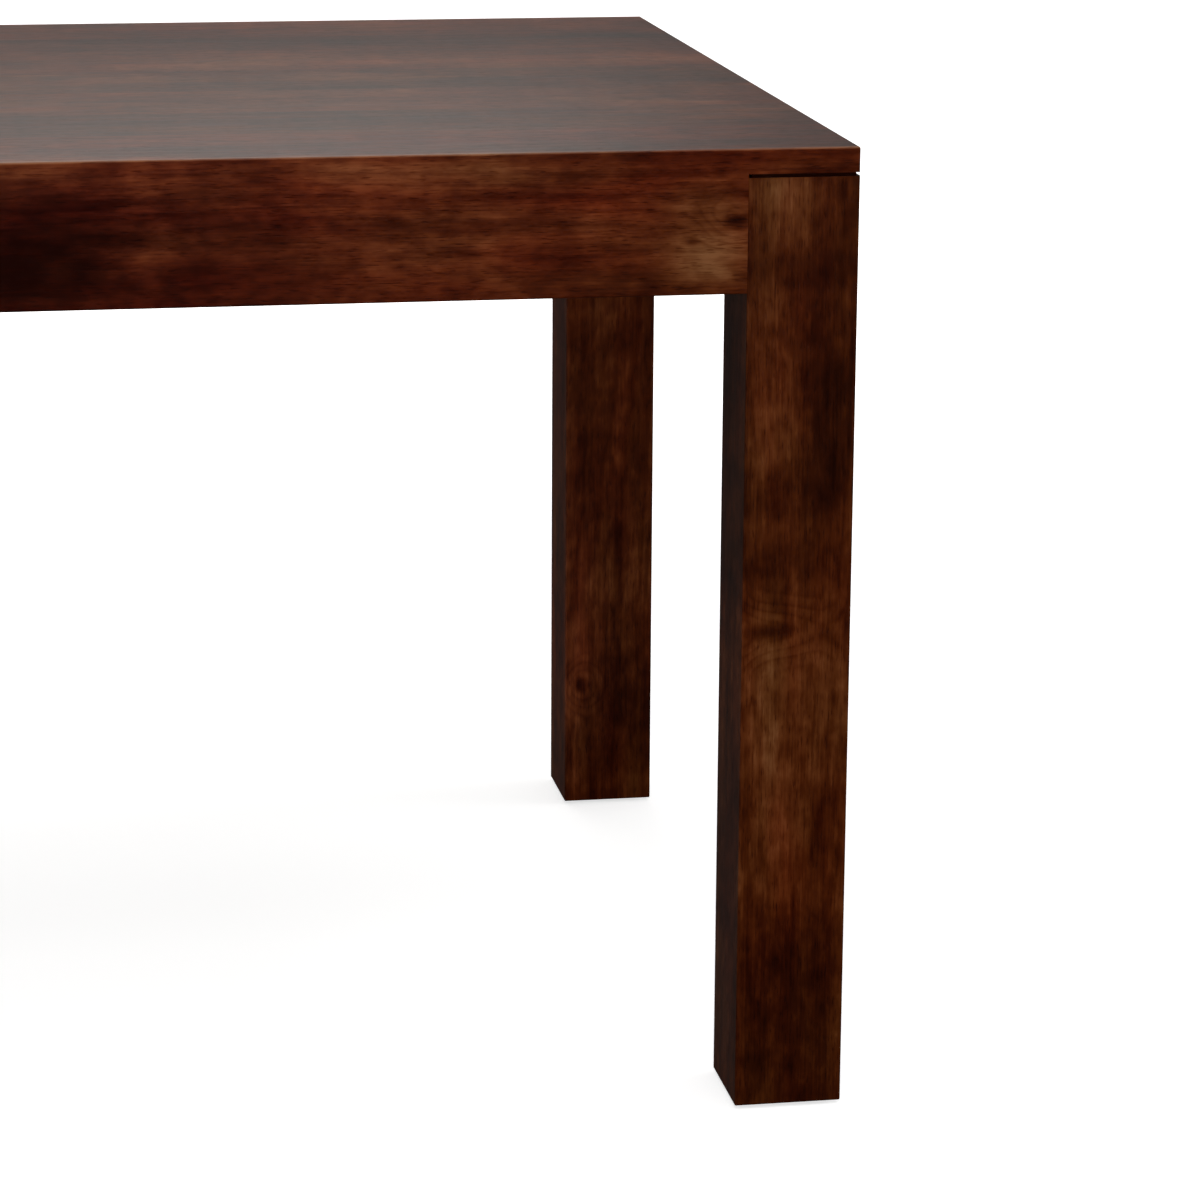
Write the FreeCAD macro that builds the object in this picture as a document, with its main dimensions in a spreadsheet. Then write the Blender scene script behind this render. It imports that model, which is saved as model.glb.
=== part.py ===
import FreeCAD
import Part
import Sketcher
import os
import re

# Dining table: a plank top, flush with its frame, on four square legs that bolt to corner blocks.
# Millimetres. The origin is on the floor under the middle of the top; +X runs along the length,
# +Y to the back and +Z up.

SIZES = {
    # the whole table
    "table_length": 1750,
    "table_depth": 900,
    "table_height": 760,
    # top boards
    "top_thickness": 19,
    "top_arris": 1.5,
    "tongue_thickness": 6,
    "tongue_width": 7,
    # legs
    "leg_width": 85,
    "leg_arris": 1.2,
    "leg_neck_height": 2.6,
    "leg_neck_inset": 2.6,
    "leg_flat": 25,
    "leg_flat_margin": 8,
    # aprons
    "apron_height": 90,
    "apron_thickness": 25,
    "apron_arris": 1.5,
    # cleats
    "cleat_size": 22,
    "cleat_chamfer": 3,
    "cleat_end_gap": 3,
    # cross rails
    "rail_height": 60,
    "rail_thickness": 30,
    "rail_arris": 1.5,
    "tenon_length": 12,
    "tenon_thickness": 14,
    "tenon_shoulder": 5,
    # corner blocks
    "block_height": 70,
    "block_thickness": 30,
    "block_gap": 3,
    "block_arris": 2,
    # hanger bolts with their washers and nuts
    "bolt_diameter": 8,
    "bolt_bite": 50,
    "bolt_point": 6,
    "bolt_chamfer": 1,
    "bolt_spread": 34,
    "bolt_reach": 6,
    "washer_diameter": 24,
    "washer_thickness": 2,
    "nut_flats": 13,
    "nut_thickness": 6.5,
    "nut_chamfer": 0.8,
    # countersunk screws, and the wood left between their points and the outer faces
    "screw_diameter": 4.5,
    "screw_head": 8.6,
    "screw_head_height": 2.6,
    "screw_point": 5,
    "screw_sink": 1,
    "recess_width": 1,
    "recess_depth": 1.6,
    "top_cover": 5,
    "apron_cover": 8,
    "block_screw_seat": 18,
    "block_screw_spread": 40,
    # glides and their nails
    "glide_diameter": 28,
    "glide_thickness": 3,
    "glide_arris": 1,
    "nail_diameter": 3,
    "nail_length": 18,
    "nail_point": 3,
    "nail_head": 8,
    "nail_head_thickness": 1,
    "nail_sink": 0.6,
    # fits and cuts
    "joint_clearance": 0.2,
    "hole_clearance": 0.3,
    "overrun": 5,
}

# Board widths, front to back, as parts of the depth.
BOARD_WIDTH_SHARES = (0.145, 0.135, 0.15, 0.14, 0.15, 0.135, 0.145)
# Places along the length, from the middle, as parts of the length.
RAIL_PLACE_SHARES = {"left": -0.25, "centre": 0, "right": 0.25}
LONG_TOP_SCREW_SHARES = (-0.375, -0.125, 0.125, 0.375)
LONG_CLEAT_SCREW_SHARES = (-0.3125, -0.1875, -0.0625, 0.0625, 0.1875, 0.3125)
# Places along the depth, from the middle, as parts of the depth.
SHORT_CLEAT_SCREW_SHARES = (-0.21, -0.07, 0.07, 0.21)
# Place of a block screw between the ends of its joint face, and the length of the driver
# recess as a part of the screw head.
BLOCK_SCREW_SHARE = 0.35
RECESS_LENGTH_SHARE = 0.55

# Heights and spans that several pieces meet at.
TOP_UNDERSIDE = "(table_height - top_thickness)"
LEG_LENGTH = "(table_height - top_thickness - glide_thickness)"
APRON_BOTTOM = "(table_height - top_thickness - apron_height)"
CLEAT_BOTTOM = "(table_height - top_thickness - cleat_size)"
RAIL_BOTTOM = "(table_height - top_thickness - rail_height)"
BLOCK_BOTTOM = "(table_height - top_thickness - block_height)"
FRAME_WIDTH = "(table_depth - 2 * apron_thickness)"

# In plan the legs' flats and the corner blocks lie across the corner. A face across it is known by
# its x + y, measured from the outer corner.
FLAT_SUM = "(2 * leg_width - leg_flat)"
BLOCK_FRONT_SUM = f"({FLAT_SUM} + sqrt(2) * block_gap)"
BLOCK_BACK_SUM = f"({BLOCK_FRONT_SUM} + sqrt(2) * block_thickness)"
BLOCK_NEAR = f"({BLOCK_FRONT_SUM} - apron_thickness)"
BLOCK_FAR = f"({BLOCK_BACK_SUM} - apron_thickness)"
CLEAT_START = f"({BLOCK_FAR} + cleat_end_gap)"

BOLT_LENGTH = ("(bolt_bite + block_gap + block_thickness"
               " + washer_thickness + nut_thickness + bolt_reach)")
TOP_SCREW_LENGTH = "(cleat_size - screw_sink + top_thickness - top_cover)"
CLEAT_SCREW_LENGTH = "(cleat_size - screw_sink + apron_thickness - apron_cover)"
BLOCK_SCREW_LENGTH = "(block_screw_seat + apron_thickness - apron_cover)"

TENON_BOTTOM = "tenon_shoulder"
TENON_TOP = "(rail_height - cleat_size - joint_clearance - tenon_shoulder)"

# A quarter turn takes each corner, and each side that starts there, to the next one.
CORNERS = ("front_left", "front_right", "back_right", "back_left")
SIDES = ("front", "right", "back", "left")
SIDE_SPANS = ("table_length", "table_depth", "table_length", "table_depth")
CORNER_SIGNS = ((-1, -1), (1, -1), (1, 1), (-1, 1))
QUARTER_TURN = 90
FULL_TURN = 360

UP = FreeCAD.Vector(0, 0, 1)
TO_CORNER = FreeCAD.Vector(-1, -1, 0)
TO_FRONT = FreeCAD.Vector(0, -1, 0)
TO_LEFT = FreeCAD.Vector(-1, 0, 0)

doc = FreeCAD.newDocument("dining_table")
sheet = doc.addObject("Spreadsheet::Sheet", "Sizes")
for row, (size_name, size) in enumerate(SIZES.items(), start=1):
    sheet.set(f"A{row}", size_name)
    sheet.set(f"B{row}", str(size))
    sheet.setAlias(f"B{row}", size_name)
doc.recompute()

nodes = []


def in_sheet(expression):
    """The expression with each size name pointing at its cell."""
    def cell(word):
        return f"Sizes.{word.group()}" if word.group() in SIZES else word.group()
    return re.sub(r"[a-z][a-z_]*", cell, expression)


def value(expression):
    """What the expression comes to at the present sizes."""
    return float(sheet.evalExpression(in_sheet(expression)))


def bind(thing, **expressions):
    """Bind properties of an object to the sheet."""
    for prop, expression in expressions.items():
        thing.setExpression(prop, in_sheet(expression))


def place(thing, x, y, z, rotation=None):
    """Turn an object and bind its place to the sheet."""
    thing.Placement = FreeCAD.Placement(FreeCAD.Vector(), rotation or FreeCAD.Rotation())
    for axis, expression in zip("xyz", (x, y, z)):
        thing.setExpression(f"Placement.Base.{axis}", in_sheet(expression))


def corner_point(turn, along, across):
    """Plan place of a point given from the outer corner, along its side and across it."""
    by_turn = ((along, across), (f"-{across}", along), (f"-{along}", f"-{across}"), (across, f"-{along}"))
    x, y = by_turn[turn]
    sign_x, sign_y = CORNER_SIGNS[turn]
    return f"{sign_x} * table_length / 2 + {x}", f"{sign_y} * table_depth / 2 + {y}"


def corner_rotation(turn, drive=None):
    """Turn from the first corner to this one, after tipping +Z to the drive direction."""
    tip = FreeCAD.Rotation(UP, drive) if drive else FreeCAD.Rotation()
    return FreeCAD.Rotation(UP, turn * QUARTER_TURN).multiply(tip)


def new_body(name):
    return doc.addObject("PartDesign::Body", name)


def outline(body, name, plane_role, points, start=None):
    """A closed outline on one of the body's own planes, each corner bound to the sheet."""
    plane = [feature for feature in body.Origin.OriginFeatures if feature.Role == plane_role][0]
    sketch = body.newObject("Sketcher::SketchObject", f"{name}_outline")
    sketch.AttachmentSupport = [(plane, "")]
    sketch.MapMode = "FlatFace"
    if start:
        sketch.setExpression("AttachmentOffset.Base.z", in_sheet(start))
    spots = [FreeCAD.Vector(value(x), value(y), 0) for x, y in points]
    for spot, following in zip(spots, spots[1:] + spots[:1]):
        sketch.addGeometry(Part.LineSegment(spot, following))
    for line in range(len(points)):
        sketch.addConstraint(Sketcher.Constraint("Coincident", line, 2, (line + 1) % len(points), 1))
    for line, (x, y) in enumerate(points):
        for kind, expression, present in (("DistanceX", x, spots[line].x), ("DistanceY", y, spots[line].y)):
            index = sketch.addConstraint(Sketcher.Constraint(kind, -1, 1, line, 1, present))
            label = f"{kind}{line}"
            sketch.renameConstraint(index, label)
            sketch.setExpression(f"Constraints.{label}", in_sheet(expression))
    return sketch


def rectangle(x_from, x_to, y_from, y_to):
    return [(x_from, y_from), (x_to, y_from), (x_to, y_to), (x_from, y_to)]


def pad(body, name, plane_role, points, length, start=None):
    feature_sketch = outline(body, name, plane_role, points, start)
    feature = body.newObject("PartDesign::Pad", f"{name}_pad")
    feature.Profile = feature_sketch
    bind(feature, Length=length)
    doc.recompute()
    return feature


def pocket_down(body, name, points, start, depth):
    """Cut straight down from a level, and make sure that it takes wood away."""
    volume_before = body.Shape.Volume
    feature_sketch = outline(body, name, "XY_Plane", points, start)
    feature = body.newObject("PartDesign::Pocket", f"{name}_pocket")
    feature.Profile = feature_sketch
    bind(feature, Length=depth)
    doc.recompute()
    if not feature.Shape.Volume < volume_before:
        raise RuntimeError(f"{name} cuts nothing")
    return feature


def turned(name, profile):
    """A body of revolution about Z; the profile is given as radius and height."""
    body = new_body(name)
    profile_sketch = outline(body, name, "XZ_Plane", profile)
    feature = body.newObject("PartDesign::Revolution", f"{name}_turning")
    feature.Profile = profile_sketch
    feature.ReferenceAxis = (profile_sketch, ["V_Axis"])
    feature.Angle = FULL_TURN
    doc.recompute()
    return body


def ease(body, base, kind, edges, **sizes):
    """Round (Fillet) or bevel (Chamfer) edges or whole faces of a feature."""
    feature = body.newObject(f"PartDesign::{kind}", f"{base.Name}_{kind}")
    feature.Base = (base, edges)
    bind(feature, **sizes)
    doc.recompute()
    return feature


def edges_where(feature, wanted):
    """Names of the edges whose two end points satisfy the test."""
    names = []
    for number, edge in enumerate(feature.Shape.Edges, start=1):
        ends = [vertex.Point for vertex in edge.Vertexes]
        if len(ends) == 2 and wanted(*ends):
            names.append(f"Edge{number}")
    return names


def faces_at(feature, *levels):
    """Names of the level faces at the given heights."""
    names = []
    for number, face in enumerate(feature.Shape.Faces, start=1):
        box = face.BoundBox
        if any(near(box.ZMin, level) and near(box.ZMax, level) for level in levels):
            names.append(f"Face{number}")
    return names


def near(first, second):
    return abs(first - second) <= FreeCAD.Base.Precision.confusion()


def copies(name, master, places):
    """The master at each of the places, as one object of separate solids."""
    links = []
    for number, (x, y, z, rotation) in enumerate(places, start=1):
        link = doc.addObject("App::Link", f"{name}_{number}")
        link.LinkedObject = master
        place(link, x, y, z, rotation)
        links.append(link)
    group = doc.addObject("Part::Compound", name)
    group.Links = links
    return group


def bundle(name, *groups):
    joined = doc.addObject("Part::Compound", name)
    joined.Links = list(groups)
    return joined


def cut(name, base, tool):
    result = doc.addObject("Part::Cut", name)
    result.Base = base
    result.Tool = tool
    return result


def node(thing, label):
    """Count an object as a sub-part of the table."""
    thing.Label = label
    nodes.append(thing)


def board_edge(count):
    """Place of the joint after so many boards, from the front."""
    return f"({sum(BOARD_WIDTH_SHARES[:count])} * table_depth)"


def board_middle(number):
    share = sum(BOARD_WIDTH_SHARES[:number - 1]) + BOARD_WIDTH_SHARES[number - 1] / 2
    return f"({share} * table_depth - table_depth / 2)"


def inner_boards(left_out):
    """Numbers of the boards, less so many at the front and as many at the back."""
    return range(1 + left_out, len(BOARD_WIDTH_SHARES) + 1 - left_out)


def board_blank(number):
    """One board with its tongue at the back and its groove at the front, outer arrises rounded."""
    first = number == 1
    last = number == len(BOARD_WIDTH_SHARES)
    width = f"({BOARD_WIDTH_SHARES[number - 1]} * table_depth)"
    tongue_low = "(top_thickness - tongue_thickness) / 2"
    tongue_high = "(top_thickness + tongue_thickness) / 2"
    groove_depth = "tongue_width + joint_clearance"
    tongue = [(width, tongue_low), (f"{width} + tongue_width", tongue_low),
              (f"{width} + tongue_width", tongue_high), (width, tongue_high)]
    groove = [("0", f"{tongue_high} + joint_clearance"), (groove_depth, f"{tongue_high} + joint_clearance"),
              (groove_depth, f"{tongue_low} - joint_clearance"), ("0", f"{tongue_low} - joint_clearance")]
    section = [("0", "0"), (width, "0")]
    section += [] if last else tongue
    section += [(width, "top_thickness"), ("0", "top_thickness")]
    section += [] if first else groove

    body = new_body(f"board_{number}_blank")
    blank = pad(body, f"board_{number}", "YZ_Plane", section, "table_length")

    def on_upper_rim(start, end):
        return near(start.z, value("top_thickness")) and near(end.z, value("top_thickness"))

    def on_end(start, end):
        return near(start.x, end.x)

    def on_outer_side(start, end):
        at_front = first and near(start.y, 0) and near(end.y, 0)
        at_back = last and near(start.y, value(width)) and near(end.y, value(width))
        return at_front or at_back

    def shows(start, end):
        if on_upper_rim(start, end):
            return on_end(start, end) or on_outer_side(start, end)
        return on_end(start, end) and on_outer_side(start, end)

    ease(body, blank, "Fillet", edges_where(blank, shows), Radius="top_arris")
    place(body, "-table_length / 2", f"{board_edge(number - 1)} - table_depth / 2", TOP_UNDERSIDE)
    return body


def leg_blank(turn):
    """A square leg with a shadow gap round its neck, and a flat for the bolts at its inner corner."""
    name = f"leg_{CORNERS[turn]}"
    body = new_body(f"{name}_blank")
    shoulder = f"({LEG_LENGTH} - leg_neck_height)"
    square = rectangle("0", "leg_width", "0", "leg_width")
    shaft = pad(body, name, "XY_Plane", square, shoulder)

    def below_shoulder(start, end):
        return min(start.z, end.z) < value("leg_arris")

    ease(body, shaft, "Fillet", edges_where(shaft, below_shoulder), Radius="leg_arris")
    neck_far = "leg_width - leg_neck_inset"
    neck = rectangle("leg_neck_inset", neck_far, "leg_neck_inset", neck_far)
    pad(body, f"{name}_neck", "XY_Plane", neck, "leg_neck_height", shoulder)
    outside = "leg_width + overrun"
    flat = [(outside, f"{FLAT_SUM} - leg_width - overrun"), (outside, outside),
            (f"{FLAT_SUM} - leg_width - overrun", outside)]
    pocket_down(body, f"{name}_flat", flat, f"{LEG_LENGTH} + overrun",
                "block_height + leg_flat_margin + overrun")
    place(body, *corner_point(turn, "0", "0"), "glide_thickness", corner_rotation(turn))
    return body


def apron_blank(turn):
    """A frame rail between two legs, flush with their outer faces."""
    name = f"apron_{SIDES[turn]}"
    body = new_body(f"{name}_blank")
    section = rectangle("0", "apron_thickness", "0", "apron_height")
    blank = pad(body, name, "YZ_Plane", section, f"{SIDE_SPANS[turn]} - 2 * leg_width")

    def along_bottom(start, end):
        return near(start.z, 0) and near(end.z, 0) and not near(start.x, end.x)

    ease(body, blank, "Fillet", edges_where(blank, along_bottom), Radius="apron_arris")
    place(body, *corner_point(turn, "leg_width", "0"), APRON_BOTTOM, corner_rotation(turn))
    return body


def cleat_blank(turn):
    """A strip in the corner of apron and top, its free edge bevelled."""
    name = f"cleat_{SIDES[turn]}"
    body = new_body(f"{name}_blank")
    section = [("0", "0"), ("cleat_size - cleat_chamfer", "0"), ("cleat_size", "cleat_chamfer"),
               ("cleat_size", "cleat_size"), ("0", "cleat_size")]
    pad(body, name, "YZ_Plane", section, f"{SIDE_SPANS[turn]} - 2 * {CLEAT_START}")
    place(body, *corner_point(turn, CLEAT_START, "apron_thickness"), CLEAT_BOTTOM, corner_rotation(turn))
    return body


def rail_blank(side):
    """A rail from apron to apron, notched over the cleats, with a stub tenon at each end."""
    name = f"cross_rail_{side}"
    body = new_body(f"{name}_blank")
    notch_front = "cleat_size + joint_clearance"
    notch_back = f"{FRAME_WIDTH} - cleat_size - joint_clearance"
    notch_floor = "rail_height - cleat_size - joint_clearance"
    profile = [("0", "0"), (FRAME_WIDTH, "0"), (FRAME_WIDTH, notch_floor), (notch_back, notch_floor),
               (notch_back, "rail_height"), (notch_front, "rail_height"), (notch_front, notch_floor),
               ("0", notch_floor)]
    blank = pad(body, name, "YZ_Plane", profile, "rail_thickness")

    def along_bottom(start, end):
        return near(start.z, 0) and near(end.z, 0) and not near(start.y, end.y)

    ease(body, blank, "Fillet", edges_where(blank, along_bottom), Radius="rail_arris")
    tenon = rectangle("-tenon_length", f"{FRAME_WIDTH} + tenon_length", TENON_BOTTOM, TENON_TOP)
    tenon_start = "(rail_thickness - tenon_thickness) / 2"
    pad(body, f"{name}_tenon", "YZ_Plane", tenon, "tenon_thickness", tenon_start)
    place(body, f"{RAIL_PLACE_SHARES[side]} * table_length - rail_thickness / 2",
          "apron_thickness - table_depth / 2", RAIL_BOTTOM)
    return body


def mortises():
    """Bars that cut both mortises of each cross rail."""
    bar = doc.addObject("Part::Box", "mortise_bar")
    bind(bar, Length="tenon_thickness + 2 * joint_clearance",
         Width=f"{FRAME_WIDTH} + 2 * (tenon_length + joint_clearance)",
         Height=f"{TENON_TOP} - {TENON_BOTTOM} + 2 * joint_clearance")
    places = []
    for share in RAIL_PLACE_SHARES.values():
        places.append((f"{share} * table_length - tenon_thickness / 2 - joint_clearance",
                       f"-{FRAME_WIDTH} / 2 - tenon_length - joint_clearance",
                       f"{RAIL_BOTTOM} + {TENON_BOTTOM} - joint_clearance", None))
    return copies("mortise_bars", bar, places)


def block_blank(turn):
    """A block across the frame corner, a little way off the leg's flat so that the bolts pull."""
    name = f"corner_block_{CORNERS[turn]}"
    body = new_body(f"{name}_blank")
    plan = [(BLOCK_NEAR, "apron_thickness"), (BLOCK_FAR, "apron_thickness"),
            ("apron_thickness", BLOCK_FAR), ("apron_thickness", BLOCK_NEAR)]
    blank = pad(body, name, "XY_Plane", plan, "block_height")

    def lower_back(start, end):
        back = value(BLOCK_BACK_SUM)
        at_back = near(start.x + start.y, back) and near(end.x + end.y, back)
        return at_back and near(start.z, 0) and near(end.z, 0)

    ease(body, blank, "Fillet", edges_where(blank, lower_back), Radius="block_arris")
    place(body, *corner_point(turn, "0", "0"), BLOCK_BOTTOM, corner_rotation(turn))
    return body


def hanger_bolt():
    """From the nut end, at zero, to the point in the leg."""
    radius = "bolt_diameter / 2"
    return turned("hanger_bolt", [("0", "0"), (f"{radius} - bolt_chamfer", "0"), (radius, "bolt_chamfer"),
                                  (radius, f"{BOLT_LENGTH} - bolt_point"), ("0", BOLT_LENGTH)])


def bolt_washer():
    hole = "bolt_diameter / 2 + hole_clearance"
    return turned("bolt_washer", rectangle(hole, "washer_diameter / 2", "0", "washer_thickness"))


def bolt_nut():
    body = new_body("bolt_nut_blank")
    corner = "nut_flats / sqrt(3)"
    flat = "nut_flats / 2"
    hexagon = [(corner, "0"), (f"{corner} / 2", flat), (f"-{corner} / 2", flat),
               (f"-{corner}", "0"), (f"-{corner} / 2", f"-{flat}"), (f"{corner} / 2", f"-{flat}")]
    blank = pad(body, "bolt_nut", "XY_Plane", hexagon, "nut_thickness")
    ease(body, blank, "Chamfer", faces_at(blank, 0, value("nut_thickness")), Size="nut_chamfer")
    bore = doc.addObject("Part::Cylinder", "bolt_nut_bore")
    bind(bore, Radius="bolt_diameter / 2 + hole_clearance", Height="nut_thickness + 2 * overrun")
    place(bore, "0", "0", "-overrun")
    return cut("bolt_nut", body, bore)


def bolt_drill():
    """The way of a bolt through its block and into its leg."""
    drill = doc.addObject("Part::Cylinder", "bolt_drill")
    bind(drill, Radius="bolt_diameter / 2 + hole_clearance", Height=f"{BOLT_LENGTH} + hole_clearance")
    return drill


def bolt_places(distance):
    """On the bolts' axes, a distance behind the blocks' back faces, driving towards the legs."""
    across_corner = f"({BLOCK_BACK_SUM} / 2 + ({distance}) / sqrt(2))"
    places = []
    for turn in range(len(CORNERS)):
        for sign in (-1, 1):
            height = f"{BLOCK_BOTTOM} + block_height / 2 + {sign} * bolt_spread / 2"
            places.append((*corner_point(turn, across_corner, across_corner), height,
                           corner_rotation(turn, TO_CORNER)))
    return places


def screw(name, length):
    """A countersunk screw with a cross recess, from its head, at zero, to its point."""
    body = turned(f"{name}_blank", [("0", "0"), ("screw_head / 2", "0"),
                                    ("screw_diameter / 2", "screw_head_height"),
                                    ("screw_diameter / 2", f"{length} - screw_point"), ("0", length)])
    arms = []
    recess_length = f"{RECESS_LENGTH_SHARE} * screw_head"
    for size_x, size_y in ((recess_length, "recess_width"), ("recess_width", recess_length)):
        arm = doc.addObject("Part::Box", f"{name}_recess_{len(arms)}")
        bind(arm, Length=size_x, Width=size_y, Height="recess_depth + overrun")
        place(arm, f"-{size_x} / 2", f"-{size_y} / 2", "-overrun")
        arms.append(arm)
    cross = doc.addObject("Part::Fuse", f"{name}_recess")
    cross.Base = arms[0]
    cross.Tool = arms[1]
    return cut(name, body, cross)


def screw_drill(name, length, lead):
    """The hole for a screw: its countersink, its pilot, and a lead for the head to pass."""
    head = "screw_head / 2 + hole_clearance"
    shank = "screw_diameter / 2 + hole_clearance"
    return turned(name, [("0", f"-{lead}"), (head, f"-{lead}"), (head, "0"), (shank, "screw_head_height"),
                         (shank, f"{length} + hole_clearance"), ("0", f"{length} + hole_clearance")])


def top_screw_places():
    """Heads of the screws that go up through cleats and cross rails into the boards."""
    height = f"{CLEAT_BOTTOM} + screw_sink"
    long_cleat = "(table_depth / 2 - apron_thickness - cleat_size / 2)"
    end_cleat = "(table_length / 2 - apron_thickness - cleat_size / 2)"
    places = []
    for sign in (-1, 1):
        for share in LONG_TOP_SCREW_SHARES:
            places.append((f"{share} * table_length", f"{sign} * {long_cleat}", height, None))
        for number in inner_boards(left_out=2):
            places.append((f"{sign} * {end_cleat}", board_middle(number), height, None))
    for share in RAIL_PLACE_SHARES.values():
        for number in inner_boards(left_out=1):
            places.append((f"{share} * table_length", board_middle(number), height, None))
    return places


def cleat_screw_places():
    """Heads of the screws that go through the cleats into the aprons."""
    height = f"{CLEAT_BOTTOM} + cleat_size / 2"
    depth = "(apron_thickness + cleat_size - screw_sink)"
    places = []
    for turn, span in enumerate(SIDE_SPANS):
        shares = LONG_CLEAT_SCREW_SHARES if span == "table_length" else SHORT_CLEAT_SCREW_SHARES
        for share in shares:
            along = f"({span} / 2 + {share} * {span})"
            places.append((*corner_point(turn, along, depth), height, corner_rotation(turn, TO_FRONT)))
    return places


def block_screw_places():
    """Heads of the screws that go through the corner blocks into the two aprons of the corner."""
    along = f"({BLOCK_NEAR} + {BLOCK_SCREW_SHARE} * ({BLOCK_FAR} - {BLOCK_NEAR}))"
    depth = "(apron_thickness + block_screw_seat)"
    places = []
    for turn in range(len(CORNERS)):
        for sign in (-1, 1):
            height = f"{BLOCK_BOTTOM} + block_height / 2 + {sign} * block_screw_spread / 2"
            places.append((*corner_point(turn, along, depth), height, corner_rotation(turn, TO_FRONT)))
            places.append((*corner_point(turn, depth, along), height, corner_rotation(turn, TO_LEFT)))
    return places


def glide():
    """A round pad with a recess for its nail's head."""
    head = "nail_head / 2 + hole_clearance"
    shank = "nail_diameter / 2 + hole_clearance"
    rim = "glide_diameter / 2"
    seat = "nail_sink + nail_head_thickness"
    return turned("glide_blank", [(head, "0"), (f"{rim} - glide_arris", "0"), (rim, "glide_arris"),
                                  (rim, "glide_thickness"), (shank, "glide_thickness"),
                                  (shank, seat), (head, seat)])


def glide_nail():
    head = "nail_head / 2"
    shank = "nail_diameter / 2"
    return turned("glide_nail", [("0", "0"), (head, "0"), (head, "nail_head_thickness"),
                                 (shank, "nail_head_thickness"), (shank, "nail_length - nail_point"),
                                 ("0", "nail_length")])


def nail_drill():
    drill = doc.addObject("Part::Cylinder", "nail_drill")
    bind(drill, Radius="nail_diameter / 2 + hole_clearance", Height="nail_length + hole_clearance")
    return drill


def leg_axis_places(height):
    """On the legs' middle axes, at one height."""
    middle = "leg_width / 2"
    places = []
    for turn in range(len(CORNERS)):
        places.append((*corner_point(turn, middle, middle), height, corner_rotation(turn)))
    return places


def build_fixings():
    """All the bolts, screws and nails, and the holes that they need."""
    nut_end = "washer_thickness + nut_thickness"
    bolt_end = f"{nut_end} + bolt_reach"
    node(copies("bolts", hanger_bolt(), bolt_places(bolt_end)), "hanger_bolts")
    node(copies("washers", bolt_washer(), bolt_places("washer_thickness")), "bolt_washers")
    node(copies("nuts", bolt_nut(), bolt_places(nut_end)), "bolt_nuts")
    node(copies("top_fixings", screw("top_screw", TOP_SCREW_LENGTH), top_screw_places()), "top_screws")
    node(copies("cleat_fixings", screw("cleat_screw", CLEAT_SCREW_LENGTH), cleat_screw_places()),
         "cleat_screws")
    node(copies("block_fixings", screw("block_screw", BLOCK_SCREW_LENGTH), block_screw_places()),
         "block_screws")
    node(copies("nails", glide_nail(), leg_axis_places("nail_sink")), "glide_nails")
    return {
        "bolts": copies("bolt_holes", bolt_drill(), bolt_places(bolt_end)),
        "top": copies("top_holes", screw_drill("top_drill", TOP_SCREW_LENGTH, "rail_height"),
                      top_screw_places()),
        "cleats": copies("cleat_holes", screw_drill("cleat_drill", CLEAT_SCREW_LENGTH, "cleat_size"),
                         cleat_screw_places()),
        "blocks": copies("block_holes", screw_drill("block_drill", BLOCK_SCREW_LENGTH, BLOCK_FAR),
                         block_screw_places()),
        "nails": copies("nail_holes", nail_drill(), leg_axis_places("nail_sink")),
    }


def build_wood(holes):
    """Each wooden piece, drilled for the fixings that pass through it."""
    for number in range(1, len(BOARD_WIDTH_SHARES) + 1):
        label = f"top_board_{number}"
        node(cut(label, board_blank(number), holes["top"]), label)

    leg_holes = bundle("leg_holes", holes["bolts"], holes["nails"])
    block_holes = bundle("corner_block_holes", holes["bolts"], holes["blocks"])
    for turn, corner in enumerate(CORNERS):
        node(cut(f"leg_{corner}", leg_blank(turn), leg_holes), f"leg_{corner}")
        node(cut(f"corner_block_{corner}", block_blank(turn), block_holes), f"corner_block_{corner}")

    end_holes = bundle("end_apron_holes", holes["cleats"], holes["blocks"])
    long_holes = bundle("long_apron_holes", holes["cleats"], holes["blocks"], mortises())
    cleat_holes = bundle("all_cleat_holes", holes["cleats"], holes["top"])
    for turn, side in enumerate(SIDES):
        apron_holes = long_holes if SIDE_SPANS[turn] == "table_length" else end_holes
        node(cut(f"apron_{side}", apron_blank(turn), apron_holes), f"apron_{side}")
        node(cut(f"cleat_{side}", cleat_blank(turn), cleat_holes), f"cleat_{side}")

    for side in RAIL_PLACE_SHARES:
        node(cut(f"cross_rail_{side}", rail_blank(side), holes["top"]), f"cross_rail_{side}")


def build_glides():
    master = glide()
    for (x, y, z, rotation), corner in zip(leg_axis_places("0"), CORNERS):
        pad_link = copies(f"glide_{corner}", master, [(x, y, z, rotation)])
        node(pad_link, f"glide_{corner}")


def check_and_export():
    doc.recompute()
    for thing in doc.Objects:
        if "Invalid" in thing.State or "Error" in thing.State:
            raise RuntimeError(f"{thing.Name} did not build: {thing.State}")
    os.makedirs("parts", exist_ok=True)
    for thing in nodes:
        if thing.Shape.isNull() or not thing.Shape.isValid() or not thing.Shape.Solids:
            raise RuntimeError(f"{thing.Label} has no valid shape")
        thing.Shape.exportStep(f"parts/{thing.Label}.step")


build_wood(build_fixings())
build_glides()
check_and_export()
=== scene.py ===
import itertools
import math

import bpy
from mathutils import Euler, Matrix, Vector


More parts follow.
